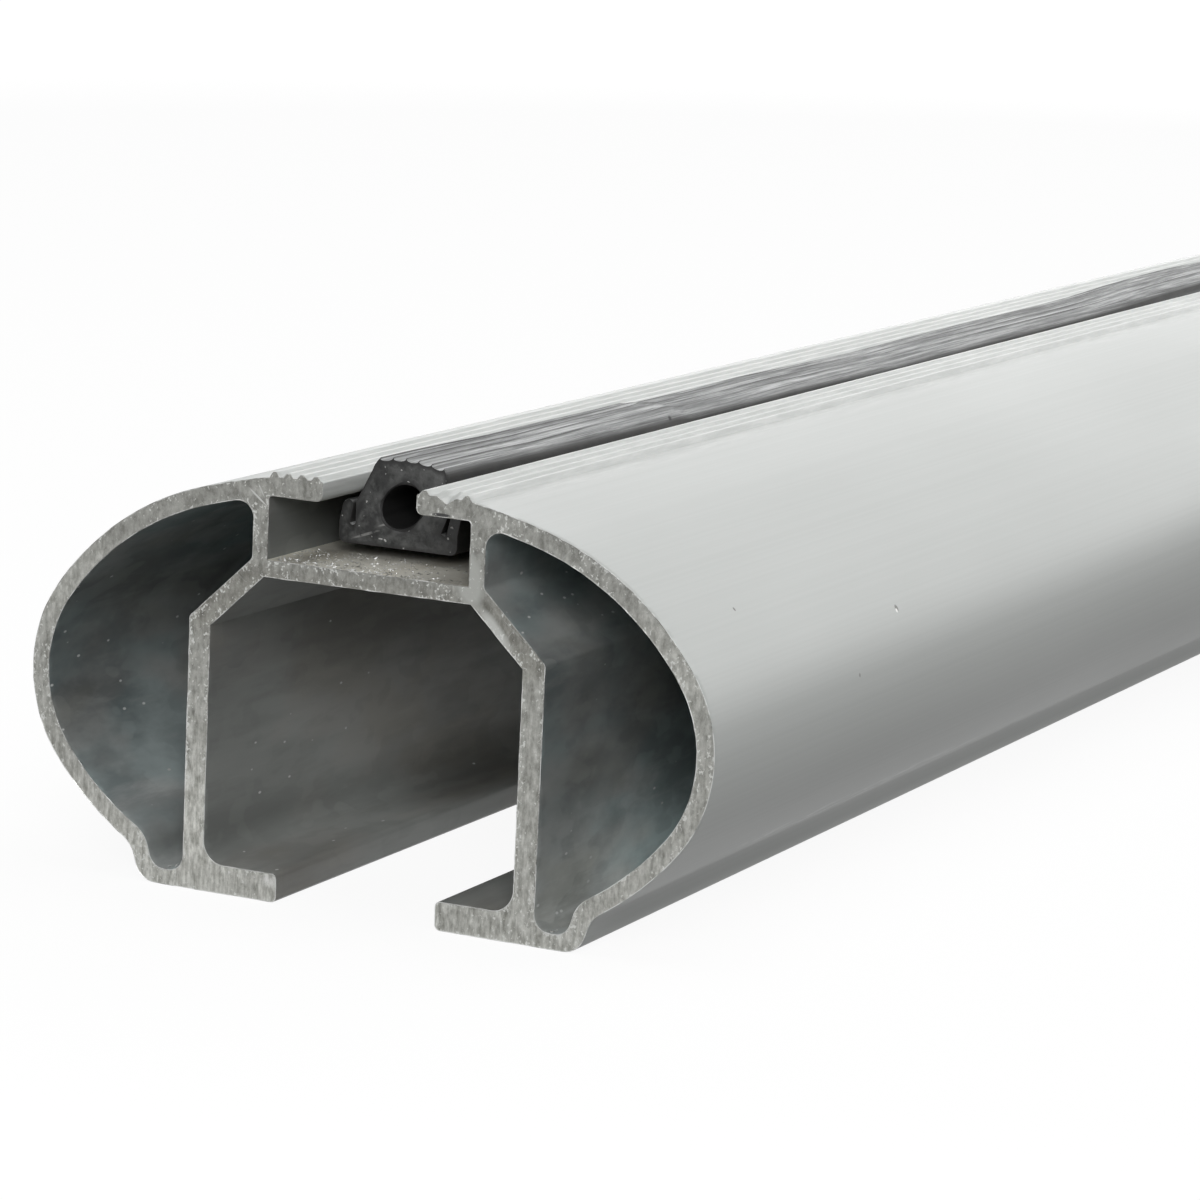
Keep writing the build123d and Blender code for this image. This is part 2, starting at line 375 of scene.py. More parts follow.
def chamber_outline():
    """Outline of the right side chamber, from its top corner round the inside of the shell and back."""
    crown, shoulder, nose, under = [(c, r - shell_wall, start, end) for c, r, start, end in shell_arcs()]
    corner = chamber_corner_radius
    x = upright_outer + corner
    rise = np.sqrt((crown[1] - corner) ** 2 - x ** 2)
    corner_centre = np.array([x, crown[0][1] + rise])
    corner_end = np.arctan2(x, rise)
    crest, touch = foot_blend(shell_wall, groove_crest_radius)
    steep = (roof_underside - knee_height) / (web_inner - roof_width / 2)
    lift = slope_wall * np.sqrt(1 + steep ** 2) - web_thickness * steep
    side = foot_half_width - foot_wall_run + foot_lean * groove_floor
    walls = rounded(
        [tuple(crest[-1]), (side, groove_floor), (web_outer, groove_floor), (web_outer, knee_height + lift),
         (upright_outer, knee_height + lift + (web_outer - upright_outer) * steep),
         (upright_outer, corner_centre[1])],
        [groove_radius, groove_radius, knee_fillet, knee_fillet],
    )
    return filled(np.vstack((
        fan(corner_centre, corner, -np.pi / 2, corner_end), fan(crown[0], crown[1], corner_end, crown[3]),
        fan(*shoulder), fan(*nose), fan(under[0], under[1], under[2], touch), crest, walls,
    )))


def outward(outline):
    """Unit normals of a closed outline: its direction of travel, turned a quarter to the left."""
    travel = unit(np.roll(outline, -1, axis=0) - np.roll(outline, 1, axis=0))
    return np.column_stack((-travel[:, 1], travel[:, 0]))


def uneven(outline, spacing, seed):
    """Random values from 0 to 1 round an outline, joined by straight lines between knots a spacing apart."""
    gap = np.linalg.norm(np.diff(outline, axis=0, append=outline[:1]), axis=1)
    along = np.cumsum(gap) - gap
    knots = np.random.default_rng(seed).random(int(gap.sum() / spacing) + 2)
    knots[-1] = knots[0]
    return np.interp(along, np.linspace(0, gap.sum(), len(knots)), knots)


def portions(points):
    """Points in portions that are small enough to compare with a whole outline at once."""
    return np.array_split(points, 1 + len(points) // points_at_once)


def within(points, outlines):
    """Whether points lie between closed outlines: a line to their right crosses an odd number of edges."""
    start = np.vstack(outlines)
    run = np.vstack([np.roll(o, -1, axis=0) - o for o in outlines])
    slope = run[:, 0] / np.where(run[:, 1] == 0, 1, run[:, 1])

    def odd(some):
        x, z = some[:, :1], some[:, 1:]
        spans = (start[:, 1] <= z) != (start[:, 1] + run[:, 1] <= z)
        return (spans & (x < start[:, 0] + (z - start[:, 1]) * slope)).sum(axis=1) % 2 == 1

    return np.concatenate([odd(some) for some in portions(points)])


def nearest(points, others):
    """Distance from each point to the nearest of the others."""
    apart = [np.hypot(*(some[:, None] - others).transpose(2, 0, 1)) for some in portions(points)]
    return np.concatenate([away.min(axis=1) for away in apart])


def saw_marks(points):
    """Depth of the saw's marks: random heights on wide arcs up the face, with a grain over them."""
    chance = np.random.default_rng(7)
    across = points[:, 0] + (points[:, 1] - widest_height) ** 2 / (2 * saw_radius)
    knots = np.arange(-bar_width, bar_width, saw_spacing)
    marks = np.interp(across, knots, chance.normal(size=len(knots)))
    return burr_depth + saw_depth * marks + saw_grain * chance.normal(size=len(points))


def tears(points):
    """Depth of the strip's torn cut: random heights on slanting bands, with a coarse grain over them."""
    chance = np.random.default_rng(8)
    across = points[:, 0] * 0.5 + points[:, 1]
    knots = np.arange(-bar_width, bar_width, tear_spacing)
    bands = np.interp(across, knots, chance.normal(size=len(knots)))
    return np.maximum(0, tear_depth * (1 + bands) + tear_grain * chance.normal(size=len(points)))


def added(name, data):
    """New object in the scene."""
    made = bpy.data.objects.new(name, data)
    bpy.context.scene.collection.objects.link(made)
    return made


class Shape:
    """Collects rings of points and the faces between them, then makes them one mesh."""

    def __init__(self):
        self.points = []
        self.rims = []
        self.faces = []
        self.finishes = []
        self.edges = {1: [], -1: []}
        self.count = 0

    def tube(self, rings, finish):
        """Faces between neighbouring rings of equal length; the first and last rings edge the cut ends.

        rings is an array (ring, point, 3), and finish gives a material number to each face, as one
        number or as an array (gap between rings, point).
        """
        amount, around = rings.shape[:2]
        self.points.append(rings.reshape(-1, 3))
        self.rims.append(np.zeros(amount * around))
        bore_rim_highlight = self.count + around * np.arange(amount - 1)[:, None]
        here = np.arange(around)
        after = (here + 1) % around
        quads = np.stack((bore_rim_highlight + here, bore_rim_highlight + after, bore_rim_highlight + around + after, bore_rim_highlight + around + here), axis=-1)
        self.faces += quads.reshape(-1, 4).tolist()
        self.finishes.append(np.broadcast_to(finish, (amount - 1, around)).ravel())
        self.edges[1].append((rings[0][:, [0, 2]], self.count))
        self.count += amount * around
        self.edges[-1].append((rings[-1][:, [0, 2]], self.count - around))

    def cap(self, facing, end, finish, relief):
        """Face over a cut end: Delaunay triangles over its outlines and over a grid of points within them.

        facing is 1 at the near end and -1 at the far one, and end is the face's place along the bar.
        relief gives the depth of each grid point. Triangles whose middles lie in a hole are left out,
        and so are those with no width, on a straight run of an outline.
        """
        outlines, firsts = zip(*self.edges[facing])
        index = np.concatenate([first + np.arange(len(o)) for o, first in zip(outlines, firsts)])
        edges = np.concatenate([
            np.column_stack((start + np.arange(len(o)), start + np.roll(np.arange(len(o)), -1)))
            for o, start in zip(outlines, np.cumsum([0] + [len(o) for o in outlines]))
        ])
        loops = np.vstack(outlines)
        low, high = loops.min(axis=0), loops.max(axis=0)
        grid = np.meshgrid(np.arange(low[0], high[0], face_step), np.arange(low[1], high[1], face_step))
        grid = np.stack(grid, axis=-1).reshape(-1, 2)
        grid = grid[within(grid, outlines)]
        runs = np.vstack([np.roll(o, -1, axis=0) - o for o in outlines])
        rim = nearest(grid, np.vstack([loops + share * runs for share in (0, 0.25, 0.5, 0.75)]))
        grid, rim = grid[rim > rim_gap], rim[rim > rim_gap]
        points = np.vstack((loops, grid))
        made = delaunay_2d_cdt(points.tolist(), edges.tolist(), [], 0, delaunay_tolerance, False)
        triangles = np.array(made[2])
        triangles = triangles[within(points[triangles].mean(axis=1), outlines)]
        a, b, c = points[triangles].transpose(1, 0, 2)
        area = ((b - a)[:, 0] * (c - a)[:, 1] - (b - a)[:, 1] * (c - a)[:, 0]) / 2
        turned = (area < 0) != (facing < 0)
        triangles[turned] = triangles[turned][:, ::-1]
        triangles = triangles[np.abs(area) > sliver_area]
        index = np.concatenate((index, self.count + np.arange(len(grid))))
        self.points.append(placed(grid, end + facing * relief(grid)))
        self.rims.append(rim)
        self.count += len(grid)
        self.faces += index[triangles].tolist()
        self.finishes.append(np.full(len(triangles), finish))

    def piece(self, name, finishes):
        """The mesh object, smooth but for edges over the sharp angle."""
        mesh = bpy.data.meshes.new(name)
        mesh.from_pydata(np.vstack(self.points), [], self.faces)
        for finish in finishes:
            mesh.materials.append(finish)
        mesh.polygons.foreach_set("material_index", np.concatenate(self.finishes).astype(np.int32))
        rim = mesh.attributes.new("rim", "FLOAT", "POINT")
        rim.data.foreach_set("value", np.concatenate(self.rims).astype(np.float32) / MM)
        mesh.shade_smooth()
        mesh.set_sharp_from_angle(angle=sharp_angle)
        mesh.update()
        return added(name, mesh)


def placed(outline, along):
    """Points of an outline at their places along the bar."""
    return np.column_stack((outline[:, 0], np.broadcast_to(along, len(outline)), outline[:, 1]))


def chipped(points):
    """Points of the right lip lowered to the broken surface of the chip, a notch that runs out along it."""
    x, y, z = points[..., 0], points[..., 1] - near_end, points[..., 2]
    across = np.clip(1 - np.abs(x - chip_middle) / (chip_end - chip_middle), 0, 1)
    fade = np.clip(y / chip_run, 0, 1)
    limit = lip_top - chip_depth * across * (1 - fade) + (tooth_height + chip_depth * 0.3) * fade
    inside = (x > chip_start) & (x < chip_end) & (z > lip_top - chip_depth) & (fade < 1)
    lowered = points.copy()
    lowered[..., 2] = np.where(inside, np.minimum(z, limit), z)
    return lowered


def end_rings(outline, facing, seed):
    """Rings of a sawn end, from the cut face out over its burr and back along the wall.

    facing is 1 at the near end and -1 at the far one. The burr's tips stand at the end of the bar.
    """
    end = facing * near_end
    normal = outward(outline)
    clusters = uneven(outline, burr_cluster_spacing, seed) * uneven(outline, burr_tooth_spacing, seed + 1)
    burr = np.sqrt(clusters) * uneven(outline, burr_grain_spacing, seed + 3)
    back = burr_back * (0.6 + uneven(outline, burr_back_spacing, seed + 2))
    tip = burr_depth * (1 - burr)
    return [
        placed(outline - normal * burr_width, end + facing * burr_depth),
        placed(outline - normal * burr_width * burr_shoulder, end + facing * tip),
        placed(outline, end + facing * back),
    ]


def outer_finishes(outline):
    """Finish of each face round the bar: drawn, but duller in the channel and slot, dusty on its floor."""
    x, z = np.abs((outline + np.roll(outline, -1, axis=0)) / 2).T
    edge = 0.02 * MM
    channel = (x < web_inner + edge) & (z > flange_corner_radius / 2) & (z < slot_ceiling + edge)
    channel &= (z < roof_underside + edge) | (x < slot_width / 2 + edge)
    slot = (x < slot_width / 2) & (np.abs(z - slot_floor) < edge)
    return np.select([slot, channel], [SLOT, CHANNEL], DRAWN)


def bar():
    """The extrusion: its outlines carried from one sawn end to the other."""
    outer = outer_outline()
    right = chamber_outline()[::-1]
    left = (right * (-1, 1))[::-1]
    middle = np.linspace(near_end + middle_margin, -near_end - middle_margin, middle_rings)
    steps = np.concatenate((near_end + near_rings, middle, -near_end - far_rings))
    chamber = np.full(len(right), CHAMBER)
    walls = ((outer, outer_finishes(outer)), (right, chamber), (left, chamber))
    shape = Shape()
    for seed, (outline, wall) in enumerate(walls):
        near = end_rings(outline, 1, 10 * seed)
        far = end_rings(outline, -1, 10 * seed + 5)[::-1]
        body = [placed(outline, y) for y in steps]
        rings = chipped(np.array(near + body + far))
        finish = np.repeat(wall[None], len(rings) - 1, axis=0)
        finish[[0, 1, -2, -1]] = BURR
        shape.tube(rings, finish)
    shape.cap(1, near_end, SAWN, saw_marks)
    shape.cap(-1, -near_end, SAWN, saw_marks)
    return shape


def strip_side():
    """Right side of the strip: base corner, fin with a round tip, groove, stem, neck and shoulder."""
    edge = base_width / 2
    fin_inner = edge - fin_thickness
    half_fin = fin_thickness / 2
    half_gap = fin_gap / 2
    neck = np.array([neck_width / 2, neck_height])
    shoulder = np.array([crown_width / 2, strip_height - crown_drop])
    share = np.linspace(0, 1, neck_points + 1)[1:, None]
    bulge = np.array([1, 0]) * shoulder_bulge * 4 * share * (1 - share)
    return np.vstack((
        [(0, 0)],
        fan((edge - base_corner_radius, base_corner_radius), base_corner_radius, np.pi, np.pi / 2),
        fan((edge - half_fin, fin_height), half_fin, np.pi / 2, -np.pi / 2),
        fan((fin_inner - half_gap, base_thickness), half_gap, np.pi / 2, 3 * np.pi / 2),
        [(stem_width / 2, stem_height)],
        neck,
        neck + (shoulder - neck) * share + bulge,
    ))


def strip_section():
    """Closed outline of the strip, with the scallops of its crown, and the outline of its bore.

    Between two ridges the crown is lowered by ridge_depth times a half circle of the place between them.
    """
    x = np.linspace(crown_width / 2, 0, crown_points + 1)[1:]
    between = ((crown_width / 2 - x) * (ridge_count - 1) / crown_width) % 1
    valley = np.sqrt(1 - (2 * between - 1) ** 2)
    crown = strip_height - crown_drop * (2 * x / crown_width) ** 2 - ridge_depth * valley
    half = np.vstack((strip_side(), np.column_stack((x, crown))))
    outline = filled(mirrored(half))[::-1]
    bore = fan((0, bore_height), bore_radius, 0, 2 * np.pi)[:-1]
    return outline, bore


def strip_lie(section, along):
    """Where the rubber lies: a section point moved by the lifted end's ease and by the ripple.

    The ease falls as a raised cosine from 1 at the cut end; it shifts, leans and rolls what is above
    the base. The ripple is one raised cosine wave. The crown's own lift grows with the height over the base.
    """
    start = near_end + end_recess
    share = np.clip((along - start) / lifted_end_length, 0, 1)[:, None]
    ease = (1 + np.cos(np.pi * share)) / 2
    wave = np.clip((along - near_end - ripple_start) / ripple_length, 0, 1)[:, None]
    rise = ease * lifted_end_rise + (1 - np.cos(2 * np.pi * wave)) / 2 * ripple_rise
    x, y = section[:, 0], section[:, 1]
    over_base = np.maximum(0, y - base_thickness)
    lift = np.interp(along - near_end, *crown_lift)[:, None]
    rise = rise + lift * over_base / (strip_height - base_thickness)
    across = x + ease * (lifted_end_shift + lifted_end_lean * over_base)
    up = seat_height + rise + y - ease * lifted_end_roll * x * over_base / strip_height
    return np.stack((across, np.broadcast_to(along[:, None], across.shape), up), axis=-1)


def strip():
    """The strip: its section and bore carried along the way that the rubber lies."""
    outline, bore = strip_section()
    start = near_end + end_recess
    runs = [np.arange(near_end + first, near_end + last, gap) for first, last, gap in ring_runs]
    steps = np.concatenate((start + cut_rings, *runs, np.linspace(near_end + few_start, -start, few_rings)))
    shape = Shape()
    for section, finish in ((outline, RUBBER), (bore[::-1], BORE)):
        rings = strip_lie(section, steps)
        normal = outward(section)
        torn = bore_tear * uneven(section, bore_tear_spacing, 51) if finish == BORE else 0
        rings[0, :, 0] -= normal[:, 0] * (cut_inset + torn)
        rings[0, :, 2] -= normal[:, 1] * (cut_inset + torn)
        shape.tube(rings, finish)
    shape.cap(1, start, CUT, tears)
    shape.cap(-1, -start, CUT, tears)
    return shape


def swarf():
    """Flakes of metal left by the saw: squashed, turned octahedra on the slot's floor and in the grooves.

    Each flake is six corners at plus and minus three axes of its own. A random turn is made from the
    axes by Gram-Schmidt, and the flake rests with its lowest corner on the metal.
    """
    chance = np.random.default_rng(19)
    count = slot_flakes + groove_flakes
    first = unit(chance.normal(size=(count, 3)) * flake_tilt)
    second = chance.normal(size=(count, 3)) * flake_tilt
    second = unit(second - first * (first * second).sum(axis=1, keepdims=True))
    third = np.cross(first, second)
    sizes = flake_size * chance.uniform(flake_least, flake_most, size=(count, 3))
    axes = np.stack((first, second, third), axis=1) * sizes[:, :, None]
    corners = np.concatenate((axes, -axes), axis=1)
    nearness = chance.random(count) ** flake_power
    slot_x = slot_flake_spread * (1 - 2 * chance.random(slot_flakes) ** slot_flake_power) * slot_width / 2
    groove_x = chance.choice((-1, 1), groove_flakes) * (web_outer + groove_width / 2)
    groove_x += chance.uniform(-groove_flake_spread, groove_flake_spread, groove_flakes) * groove_width
    x = np.concatenate((slot_x, groove_x))
    reach = np.repeat((slot_flake_reach, groove_flake_reach), (slot_flakes, groove_flakes))
    rest = np.repeat((slot_floor, groove_floor), (slot_flakes, groove_flakes))
    y = near_end + flake_start + nearness * reach
    z = rest - corners[..., 2].min(axis=1)
    corners = corners + np.column_stack((x, y, z))[:, None]
    sides = np.array([(0, 1, 2), (1, 3, 2), (3, 4, 2), (4, 0, 2), (1, 0, 5), (3, 1, 5), (4, 3, 5), (0, 4, 5)])
    faces = (6 * np.arange(count)[:, None, None] + sides).reshape(-1, 3)
    mesh = bpy.data.meshes.new("saw_swarf")
    mesh.from_pydata(corners.reshape(-1, 3), [], faces.tolist())
    mesh.materials.append(swarf_aluminium())
    return added("saw_swarf", mesh)


def colour(tone):
    """Colour of a tone, which is a grey or (red, green, blue). An output stays as it is."""
    if isinstance(tone, bpy.types.NodeSocket):
        return tone
    return (*tone, 1) if isinstance(tone, tuple) else (tone, tone, tone, 1)


class Finish:
    """A node material or world, with short calls for the nodes that they share."""

    def __init__(self, name, kind="materials"):
        self.owner = getattr(bpy.data, kind).new(name)
        self.owner.use_nodes = True
        self.nodes = self.owner.node_tree.nodes

    def made(self, sockets):
        """The material, with the sockets of its shader put in."""
        self.put(self.nodes["Principled BSDF"], sockets)
        return self.owner

    def node(self, kind, **settings):
        """New node of a kind, with its settings."""
        made = self.nodes.new(kind)
        for name, value in settings.items():
            setattr(made, name, value)
        return made

    def put(self, node, sockets):
        """Sets a node's sockets, by name or number, to plain values or joins them to the outputs given."""
        for name, value in sockets.items():
            if isinstance(value, bpy.types.NodeSocket):
                self.owner.node_tree.links.new(value, node.inputs[name])
            else:
                node.inputs[name].default_value = value
        return node

    def place(self, kind="Object"):
        """Coordinates of a kind: the place in the frame, or the Normal."""
        return self.node("ShaderNodeTexCoord").outputs[kind]

    def mapped(self, location, scale, turn):
        """Place measured from a location in steps of scale; turn tips its x axis down, in degrees."""
        return self.put(self.node("ShaderNodeMapping", vector_type="TEXTURE"), {
            "Vector": self.place(), "Location": location, "Scale": scale,
            "Rotation": (0, np.radians(turn), 0),
        }).outputs[0]

    def cells(self, scale, seed, turn=0):
        """Place counted in cells: scale is (x, y, z) in cells a metre, and seed moves the pattern."""
        start = tuple(step * seed for step in seed_steps)
        return self.mapped(start, tuple(1 / value for value in scale), turn)

    def noise(self, scale, detail=3.0, rough=0.55, seed=0, turn=0):
        """Cloudy pattern; scale is in cells a metre, so a small y draws it out along the bar."""
        return self.put(self.node("ShaderNodeTexNoise"), {
            "Vector": self.cells(scale, seed, turn), "Scale": 1, "Detail": detail, "Roughness": rough,
        }).outputs["Fac"]

    def spot(self, centre, size, turn=0, soft=0.35):
        """Mask of an ellipsoid: 1 within it, fading to 0 at its surface over the share soft of its size.

        centre (x, distance from the near end, z) and the half sizes are in mm.
        """
        x, y, z = (MM * value for value in centre)
        place = self.mapped((x, near_end + y, z), tuple(MM * value for value in size), turn)
        return self.ramp(self.length(place), [(1 - soft, 1), (1, 0)])

    def painted(self, tone, spots):
        """Tone with spots over it, each given as its own tone and then what spot takes."""
        for shade, *spot in spots:
            tone = self.mix(self.spot(*spot), tone, shade)
        return tone

    def dots(self, scale, size, share, seed):
        """Mask of round dots, one to a cell of a net of random cells, of which only a share is shown.

        scale is in cells a metre and size is the dot's radius in cells. share is a number or an output.
        """
        net = self.put(self.node("ShaderNodeTexVoronoi"), {"Vector": self.cells(scale, seed), "Scale": 1})
        shown = self.maths("GREATER_THAN", share, self.part(net.outputs["Color"], 0))
        dot = self.ramp(net.outputs["Distance"], [(size, 1), (size * 1.5, 0)])
        return self.maths("MULTIPLY", shown, dot)

    def part(self, vector, index):
        """One part of a vector: 0 is x, across the bar, 1 is y, along it, and 2 is z, up."""
        return self.put(self.node("ShaderNodeSeparateXYZ"), {0: vector}).outputs[index]

    def length(self, vector):
        """Length of a vector."""
        return self.put(self.node("ShaderNodeVectorMath", operation="LENGTH"), {0: vector}).outputs["Value"]

    def height(self):
        """Height over the floor, as a share of the crown's."""
        return self.maths("DIVIDE", self.part(self.place(), 2), crown_height)

    def aside(self):
        """Distance from the middle plane, as a share of the bar's half width."""
        return self.maths("DIVIDE", self.maths("ABSOLUTE", self.part(self.place(), 0), 0), bar_width / 2)

    def seen(self):
        """1 for a ray from the camera, a glossy one and one through glass, and 0 for the rest."""
        rays = self.node("ShaderNodeLightPath").outputs
        either = self.maths("MAXIMUM", rays["Is Glossy Ray"], rays["Is Transmission Ray"])
        return self.maths("MAXIMUM", rays["Is Camera Ray"], either)

    def rim(self):
        """Distance from the outline of a cut face, in mm."""
        return self.node("ShaderNodeAttribute", attribute_name="rim").outputs["Fac"]

    def ramp(self, value, stops):
        """Colour or tone along a value; stops are (place, tone) or (place, (red, green, blue))."""
        made = self.put(self.node("ShaderNodeValToRGB"), {0: value})
        steps = made.color_ramp.elements
        while len(steps) < len(stops):
            steps.new(0.5)
        for step, (place, tone) in zip(steps, stops):
            step.position = place
            step.color = colour(tone)
        return made.outputs[0]

    def mix(self, share, first, second, how="MIX"):
        """Two colours mixed by share, which is a number or an output."""
        made = self.node("ShaderNodeMix", data_type="RGBA", blend_type=how)
        return self.put(made, {0: share, 6: colour(first), 7: colour(second)}).outputs[2]

    def maths(self, how, first, second):
        """Two numbers or outputs put together; the result is held from 0 to 1, but for ABSOLUTE."""
        made = self.node("ShaderNodeMath", operation=how, use_clamp=how != "ABSOLUTE")
        return self.put(made, {0: first, 1: second}).outputs[0]

    def bump(self, height, distance, strength, under=None):
        """Relief of a height pattern over the relief under it; distance is its depth in metres."""
        sockets = {"Height": height, "Distance": distance, "Strength": strength}
        if under is not None:
            sockets["Normal"] = under
        return self.put(self.node("ShaderNodeBump"), sockets).outputs[0]


def drawn_aluminium():
    """Outside of the bar: satin, faintly lined along, with worn lips, three specks and a faint painted
    highlight in dashes low by the foot.
    """
    f = Finish("drawn_aluminium")
    lines = f.noise((2600, 3, 2600), detail=2, seed=1)
    bands = f.noise((60, 1, 60), detail=2, seed=5)
    clouds = f.noise((40, 14, 40), detail=4, seed=9)
    dashes = f.noise((420, 75, 420), detail=5, rough=0.7, seed=17)
    wear = f.noise((1500, 110, 1500), detail=4, rough=0.7, seed=23)
    tone = f.ramp(bands, [(0.3, (0.5, 0.518, 0.503)), (0.7, (0.52, 0.538, 0.523))])
    tone = f.mix(0.06, tone, f.ramp(lines, [(0.3, (0.4, 0.42, 0.41)), (0.7, (0.8, 0.81, 0.81))]))
    lips = f.ramp(f.aside(), [(0.3, 0.8), (0.37, 0)])
    tone = f.mix(lips, tone, f.ramp(wear, [
        (0.38, (0.52, 0.535, 0.52)), (0.52, (0.58, 0.595, 0.58)), (0.64, (0.65, 0.66, 0.645)),
    ]))
    # Painted highlight: a faint lighter line in dashes low on the shell by the foot, standing for the floor's
    # reflection there
    dashed_highlight = f.ramp(dashes, [(0.5, 0), (0.6, 0.6)])
    dashed_highlight = f.maths("MULTIPLY", f.spot((30.8, 58, 6.3), (3.6, 54, 2.3), soft=0.9), dashed_highlight)
    tone = f.mix(dashed_highlight, tone, (0.85, 0.86, 0.86))
    tone = f.painted(tone, [
        ((0.2, 0.2, 0.19), (37.85, 51.7, 29.7), (0.6, 0.45, 0.45)),
        ((0.95, 0.95, 0.93), (37.85, 51.5, 29.45), (0.4, 0.28, 0.28)),
        ((0.2, 0.2, 0.19), (34.15, 16.2, 34.3), (0.35, 0.22, 0.25)),
        ((0.3, 0.3, 0.29), (39.7, 37.6, 24.7), (0.4, 0.26, 0.26)),
    ])
    return f.made({
        "Base Color": tone, "Roughness": f.ramp(clouds, [(0.3, 0.4), (0.7, 0.46)]), "Metallic": 0.1,
        "Specular IOR Level": 0.15, "Normal": f.bump(lines, 0.002 * MM, 0.25),
    })


def sawn_aluminium():
    """Cut faces: rough, speckled and a little olive, with upright saw marks that are lighter low down.

    The slopes are darker, the shell beside them and the left foot lighter. The right end of the roof is
    smeared, scratches cross the face three ways, and bright flecks gather near the edges.
    """
    f = Finish("sawn_aluminium")
    specks = f.noise((2300, 2300, 1900), detail=2, rough=0.7, seed=2)
    grit = f.noise((1000, 1000, 700), detail=5, rough=0.75, seed=31)
    clusters = f.noise((170, 170, 170), detail=2, seed=33)
    patches = f.noise((200, 200, 140), detail=5, rough=0.65, seed=6)
    marks = f.noise((1900, 1900, 420), detail=4, rough=0.65, seed=11)
    height = f.height()
    tone = f.ramp(patches, [(0.35, (0.24, 0.24, 0.22)), (0.65, (0.41, 0.41, 0.38))])
    tone = f.mix(0.4, tone, f.ramp(marks, [(0.35, (0.16, 0.16, 0.145)), (0.66, (0.46, 0.46, 0.425))]))
    low = f.ramp(height, [(0, 0.95), (0.3, 0.65), (0.6, 0.38), (0.85, 0.1)])
    tone = f.mix(low, tone, f.ramp(marks, [(0.36, (0.32, 0.32, 0.285)), (0.64, (0.92, 0.925, 0.87))]))
    tone = f.mix(0.42, tone, f.ramp(grit, [(0.38, (0.12, 0.12, 0.105)), (0.64, (0.66, 0.665, 0.63))]))
    walls = f.ramp(height, [(0.58, 0), (0.63, 1), (0.75, 1), (0.8, 0)])
    shade = f.ramp(f.aside(), [(0.5, (0.76, 0.75, 0.73)), (0.62, 1.25)])
    tone = f.mix(walls, tone, shade, how="MULTIPLY")
    tone = f.mix(f.spot((-21, 0, 8), (15, 9, 11), soft=0.8), tone, 1.32, how="MULTIPLY")
    tone = f.painted(tone, [
        ((0.5, 0.51, 0.48), (11.8, 0, 37), (1.9, 9, 3.6), -12, 0.4),
        ((0.62, 0.63, 0.6), (15, 0, 32.2), (3.4, 9, 0.8), 48, 0.6),
    ])
    scratched = f.ramp(f.noise((130, 130, 130), detail=1, seed=47), [(0.56, 0), (0.64, 0.3)])
    for angle, seed in ((38, 41), (-52, 43), (75, 45)):
        scratches = f.noise((220, 220, 3400), detail=2, rough=0.6, seed=seed, turn=angle)
        share = f.maths("MULTIPLY", f.ramp(scratches, [(0.66, 0), (0.7, 1)]), scratched)
        tone = f.mix(share, tone, (0.6, 0.61, 0.59))
    tone = f.painted(tone, [
        ((0.7, 0.71, 0.69), (-13.1, 0, 42.7), (1.5, 9, 0.13), 38),
        ((0.6, 0.61, 0.59), (-12.7, 0, 43.4), (0.9, 9, 0.1), 60),
        (0.05, (8.35, 0, 43.2), (1.2, 9, 0.22)),
        ((0.8, 0.8, 0.78), (8.35, 0, 42.99), (1.2, 9, 0.08)),
    ])
    torn = f.spot((-10.2, 0, 2.4), (1.3, 9, 1), soft=0.9)
    torn = f.maths("MULTIPLY", torn, f.ramp(grit, [(0.4, 0.2), (0.58, 1)]))
    tone = f.mix(torn, tone, (0.92, 0.92, 0.9))
    level = f.maths("ADD", specks, f.ramp(f.rim(), [(0.1, 0.1), (0.9, 0)]))
    level = f.maths("ADD", level, f.ramp(clusters, [(0.42, 0), (0.62, 0.1)]))
    tone = f.mix(f.ramp(level, [(0.7, 0), (0.77, 0.85)]), tone, (0.8, 0.81, 0.78))
    relief = f.bump(marks, 0.03 * MM, 0.6, under=f.bump(specks, 0.03 * MM, 0.8))
    return f.made({"Base Color": tone, "Roughness": 0.5, "Metallic": 0.2, "Normal": relief})


def burr_aluminium():
    """Thin bright burr along the edges of the cut, broken here and there."""
    f = Finish("burr_aluminium")
    low = f.ramp(f.height(), [(0.2, 0.12), (0.75, 0)])
    breaks = f.maths("ADD", f.noise((600, 600, 600), detail=4, rough=0.7, seed=4), low)
    tone = f.ramp(breaks, [(0.42, (0.26, 0.26, 0.24)), (0.62, (0.75, 0.76, 0.74))])
    return f.made({"Base Color": tone, "Roughness": 0.4, "Metallic": 0.3})


def swarf_aluminium():
    """Flakes of swarf: bright, clean metal, some of them duller."""
    f = Finish("swarf_aluminium")
    patches = f.noise((400, 400, 400), detail=1, seed=8)
    tone = f.ramp(patches, [(0.4, (0.35, 0.35, 0.33)), (0.6, (0.8, 0.81, 0.8))])
    return f.made({"Base Color": tone, "Roughness": 0.35, "Metallic": 0.5})


